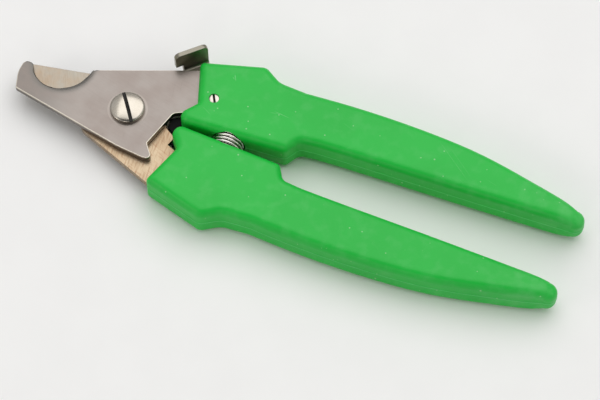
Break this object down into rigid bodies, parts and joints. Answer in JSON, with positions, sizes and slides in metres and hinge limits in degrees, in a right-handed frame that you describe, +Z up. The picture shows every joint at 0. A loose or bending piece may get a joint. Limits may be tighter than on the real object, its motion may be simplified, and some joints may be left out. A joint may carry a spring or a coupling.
{
  "type": "plier-type claw clipper",
  "caption": "Plier-type claw clipper with a hooked blade plate, a cutting blade behind it, a return spring and a thumb catch between moulded handles.",
  "frame": {"origin": "middle of the clipper's plan on the surface that it lies on, with the handles closed", "axes": "+X from the hook towards the ends of the handles, +Y towards the handle that carries the hook blade, +Z up out of the front, where the screw head is"},
  "size_m": [0.1624, 0.0502, 0.013],
  "materials": {
    "blade_steel": "satin ground plate with a polished notch",
    "ground_steel": "ground across the plate, slightly tarnished",
    "green_plastic": "satin moulded plastic",
    "screw_steel": "bright nickel plated steel",
    "spring_steel": "bright drawn spring wire",
    "catch_steel": "blackened steel, worn on the tab"
  },
  "bodies": {
    "upper_handle": {"hook_blade": "blade_steel", "upper_handle_front": "green_plastic", "upper_handle_rear": "green_plastic", "pivot_screw": "screw_steel", "pivot_nut": "screw_steel", "spring_washer": "screw_steel", "catch_pin": "screw_steel", "catch_washer": "screw_steel", "return_spring": "spring_steel"},
    "lower_handle": {"cutting_blade": "ground_steel", "lower_handle_front": "green_plastic", "lower_handle_rear": "green_plastic"},
    "catch": {"thumb_catch": "catch_steel"}
  },
  "joints": [
    {"name": "handle_hinge", "type": "hinge", "parent": "upper_handle", "child": "lower_handle", "pos_m": [-0.04789, 0, 0.0055], "axis": [0, 0, -1], "range_deg": [0, 24], "stiffness_Nm_per_rad": 0.4, "springref_deg": 31.51, "deforming": ["return_spring"]},
    {"name": "catch_hinge", "type": "hinge", "parent": "upper_handle", "child": "catch", "pos_m": [-0.02599, 0.01, 0.0045], "axis": [0, 0, 1], "range_deg": [0, 5]}
  ]
}
